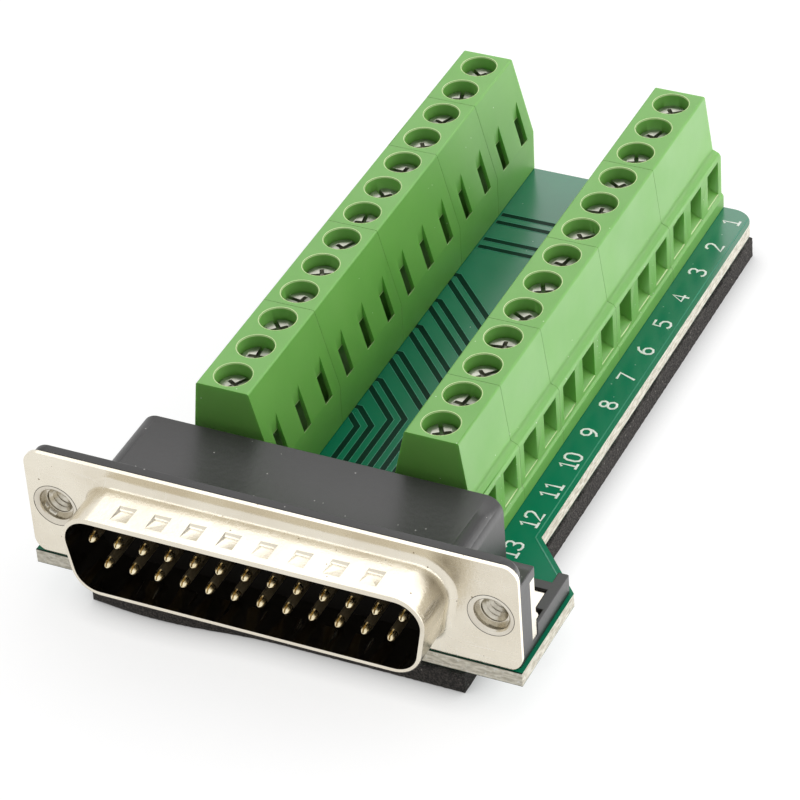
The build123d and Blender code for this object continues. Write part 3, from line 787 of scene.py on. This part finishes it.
polyamide, tree, shader = new_material("green_polyamide", (0.2, 0.52, 0.13), 0.33)
tone = blend_colour(tree, effect(tree, mottle, Scale=90, Detail=4),
                    (0.16, 0.425, 0.075), (0.195, 0.475, 0.095))
paint(tree, shader, effect(tree, dust, Scale=1000, Size=0.07, Share=0.12), tone, (0.6, 0.75, 0.5))
tree.links.new(effect(tree, mottle, Scale=160, Low=-1.2, High=2.8), shader.inputs["Roughness"])
shader.inputs["Specular IOR Level"].default_value = 0.6
shader.inputs["Subsurface Weight"].default_value = 0.3
shader.inputs["Subsurface Radius"].default_value = (0.0006, 0.0012, 0.0004)
shader.inputs["Subsurface Scale"].default_value = 1.0
add_bump(tree, shader, effect(tree, mottle, Scale=1300), 0.06, 0.00005)
# Pale green for the rounded rims: a painted highlight of light that the thin edge catches and passes.
rim_highlight, tree, shader = new_material("painted_rim_highlight", (0.42, 0.66, 0.26), 0.3)
paint(tree, shader, effect(tree, mottle, Scale=600), (0.6, 0.78, 0.36), (0.75, 0.86, 0.46))


def at_rim(edge):
    """True for the edges of screw holes, slots and wire entries."""
    ends = [face for face in edge.link_faces
            if abs(face.normal.y) > 0.99 and face.calc_area() > end_face_area]
    low = min(corner.co.z for corner in edge.verts)
    return not ends and edge.calc_length() < rim_reach and low > board_top + bar_top


def at_ridge(edge):
    """True for the long edges along a housing, which the mould left soft."""
    return edge.calc_length() > rim_reach and abs(edge.verts[0].co.y - edge.verts[1].co.y) > rim_reach


housing_piece = merged_copy("terminal_housings", "green_housings")
dress(housing_piece, [polyamide, rim_highlight], "adapter", "green_polyamide", "terminal_housings")
# The rims' rounding takes the painted highlight.
round_edges(housing_piece, rim_round, at_rim, finish=1)
round_edges(housing_piece, edge_round, at_ridge)
finish_shading(housing_piece)


# Terminal strips and clamps.
# Tinned brass current bars, and folded zinc-plated cages that rise to grip the
# wire against them.

strip_finish, tree, shader = new_material("tinned_strip", (0.6, 0.55, 0.45), 0.35, 1.0)
paint(tree, shader, effect(tree, mottle, Scale=500), (0.66, 0.62, 0.53), (0.5, 0.45, 0.36))
zinc, tree, shader = new_material("bright_zinc", (0.7, 0.68, 0.64), 0.36, 1.0)
paint(tree, shader, effect(tree, mottle, Scale=700, Detail=4), (0.78, 0.76, 0.71), (0.56, 0.54, 0.5))
scuffs = compute(tree, "ADD", effect(tree, mottle, Scale=1500, Detail=4),
                 effect(tree, scratches, Scale=500))
tree.links.new(spread(tree, scuffs, 0, 2, 0.28, 0.5), shader.inputs["Roughness"])
for name, node in nodes.items():
    if name.startswith(("clamp_", "terminal_strips")):
        node.data.materials.clear()
        node.data.materials.append(strip_finish if name == "terminal_strips" else zinc)


# Clamping screws.
# Cold-headed M2.5 screws with a full slot crossed by a short second one. Each was
# left at its own angle by whoever last turned it.

thread_step = 0.000225
thread_turns = 9
crest_radius = 0.00123
root_radius = 0.00105
head_radius = 0.00175
head_height = 0.0015
head_ease = 0.0002
slot_width = 0.00042
slot_depth = 0.0006
cross_length = 0.0019
corner_round = 0.00005
screw_sides = 36
screw_sharp = 40
screw_smooth = 30
rest_turn = 37

dull_zinc, tree, shader = new_material("worn_zinc", (0.5, 0.49, 0.45), 0.3, 1.0)
paint(tree, shader, effect(tree, mottle, Scale=900, Detail=4), (0.44, 0.44, 0.38), (0.29, 0.29, 0.25))
scuffs = effect(tree, scratches, Scale=500)
tree.links.new(spread(tree, scuffs, 0, 1, 0.32, 0.5), shader.inputs["Roughness"])
screw_low, screw_high = (Vector(corner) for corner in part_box("screw_right_01"))
shank = screw_high.z - screw_low.z - head_height - 2 * thread_turns * thread_step
deselect_all()
bpy.ops.mesh.primitive_circle_add(vertices=screw_sides, radius=root_radius, fill_type="NGON",
                                  location=(0, 0, screw_low.z))
screw = bpy.context.object
apply_place(screw)
bpy.ops.object.mode_set(mode="EDIT")
bpy.ops.mesh.select_all(action="SELECT")
for turn in range(thread_turns):
    grow(thread_step, crest_radius / root_radius)
    grow(thread_step, root_radius / crest_radius)
grow(shank)
grow(0, head_radius / root_radius)
grow(head_height - head_ease)
grow(head_ease, (head_radius - head_ease) / head_radius)
bpy.ops.mesh.select_all(action="SELECT")
bpy.ops.mesh.normals_make_consistent(inside=False)
bpy.ops.object.mode_set(mode="OBJECT")
for length, turn in ((3 * head_radius, 0), (cross_length, 90)):
    bpy.ops.mesh.primitive_cube_add(size=1, location=(0, 0, screw_high.z), rotation=(0, 0, radians(turn)),
                                    scale=(length, slot_width, 2 * slot_depth))
    blade = bpy.context.object
    apply_place(blade)
    add_modifier(screw, "BOOLEAN", object=blade, operation="DIFFERENCE", solver="EXACT")
    bpy.data.objects.remove(blade)
add_modifier(screw, "BEVEL", width=corner_round, segments=2,
             limit_method="ANGLE", angle_limit=radians(screw_sharp))
make_active(screw)
bpy.ops.object.shade_smooth_by_angle(angle=radians(screw_smooth))
for name in [name for name in nodes if name.startswith("screw_")]:
    low, high = (Vector(corner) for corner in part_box(name))
    side = 1 if "right" in name else -1
    turned = screw.copy()
    turned.data = screw.data.copy()
    turned.name = name.replace("screw", "slotted_screw")
    bpy.context.collection.objects.link(turned)
    turned.rotation_euler.z = side * radians(rest_turn * int(name[-2:]))
    turned.location = ((low.x + high.x) / 2, (low.y + high.y) / 2, 0)
    apply_place(turned)
    dress(turned, [dull_zinc], name + "_body", "zinc_plated_screw", name)
bpy.data.objects.remove(screw)


# Studio.
# A white sweep under broad, soft light from above and from the right, and the
# photograph's long-lens view from the front right.

paper_white = 0.65
paper_glow = 1.2
touch_shade = 0.0035
side_glow = 0.9
row_glow = 1.6
glow_side = (0.026, 0.03)
glow_front = (-0.034, -0.029)
glow_rows = (-0.02, 0.0)
room_light = 0.48
lens_length = 176.18
sensor_width = 36
camera_spot = (0.14817, -0.28888, 0.25117)
camera_turn = (52.721, 3.615, 24.949)

deselect_all()
bpy.ops.mesh.primitive_plane_add(size=3)
sweep = bpy.context.object
sweep.name = "white_sweep"
paper, tree, shader = new_material("white_paper", (0.9, 0.9, 0.9), 0.9)
rays = add_node(tree, "ShaderNodeLightPath").outputs
seen = compute(tree, "MAXIMUM", compute(tree, "MAXIMUM", rays["Is Camera Ray"], rays["Is Glossy Ray"]),
               rays["Is Transmission Ray"])
# The sweep's glow dims close to the object, a painted contact shadow.
open_sky = add_node(tree, "ShaderNodeAmbientOcclusion", {"Distance": touch_shade}, samples=12).outputs["AO"]
glow = add_node(tree, "ShaderNodeEmission")
length = axis_value(tree, "Y")
# To the right of the object the sweep glows up to three and a half times as bright for glossy rays only:
# painted light that the right-hand faces reflect.
lit_side = compute(tree, "ADD", spread(tree, length, *glow_front, 0.0, side_glow),
                   spread(tree, length, *glow_rows, 0.0, row_glow))
lit_side = compute(tree, "MULTIPLY", lit_side, spread(tree, axis_value(tree, "X"), *glow_side))
lit_side = compute(tree, "ADD", compute(tree, "MULTIPLY", lit_side, rays["Is Glossy Ray"]), 1.0)
level = compute(tree, "MULTIPLY", spread(tree, open_sky, 0.3, 1.0, 0.35 * paper_glow, paper_glow), lit_side)
tree.links.new(level, glow.inputs["Strength"])
blend = add_node(tree, "ShaderNodeMixShader")
tree.links.new(compute(tree, "MULTIPLY", seen, paper_white), blend.inputs["Fac"])
tree.links.new(shader.outputs["BSDF"], blend.inputs[1])
tree.links.new(glow.outputs["Emission"], blend.inputs[2])
tree.links.new(blend.outputs["Shader"], tree.nodes["Material Output"].inputs["Surface"])
sweep.data.materials.append(paper)

for label, spot, size, power, shine in (
    ("overhead", (0.12, 0.45, 0.6), 1.2, 4.2, 0.15),
    ("right_rear", (0.65, 0.2, 0.35), 0.6, 1.8, 0.6),
):
    light = bpy.data.lights.new(label, "AREA")
    light.size = size
    light.energy = power
    light.specular_factor = shine
    lamp = bpy.data.objects.new(label, light)
    bpy.context.collection.objects.link(lamp)
    lamp.location = spot
    lamp.rotation_euler = (-Vector(spot)).to_track_quat("-Z", "Y").to_euler()

sky = bpy.data.worlds.new("white_room")
bpy.context.scene.world = sky
sky.use_nodes = True
room = sky.node_tree
rays = add_node(room, "ShaderNodeLightPath").outputs
shown = compute(room, "MAXIMUM", rays["Is Camera Ray"], rays["Is Glossy Ray"])
shown = compute(room, "MAXIMUM", shown, rays["Is Transmission Ray"])
room.nodes["Background"].inputs["Color"].default_value = (1, 1, 1, 1)
room.links.new(spread(room, shown, 0, 1, room_light, 1.0), room.nodes["Background"].inputs["Strength"])

lens = bpy.data.cameras.new("long_lens")
lens.lens = lens_length
lens.sensor_width = sensor_width
lens.clip_start = 0.01
camera = bpy.data.objects.new("long_lens", lens)
bpy.context.collection.objects.link(camera)
camera.location = camera_spot
camera.rotation_euler = [radians(turn) for turn in camera_turn]
bpy.context.scene.camera = camera
bpy.context.scene.view_settings.view_transform = "Standard"
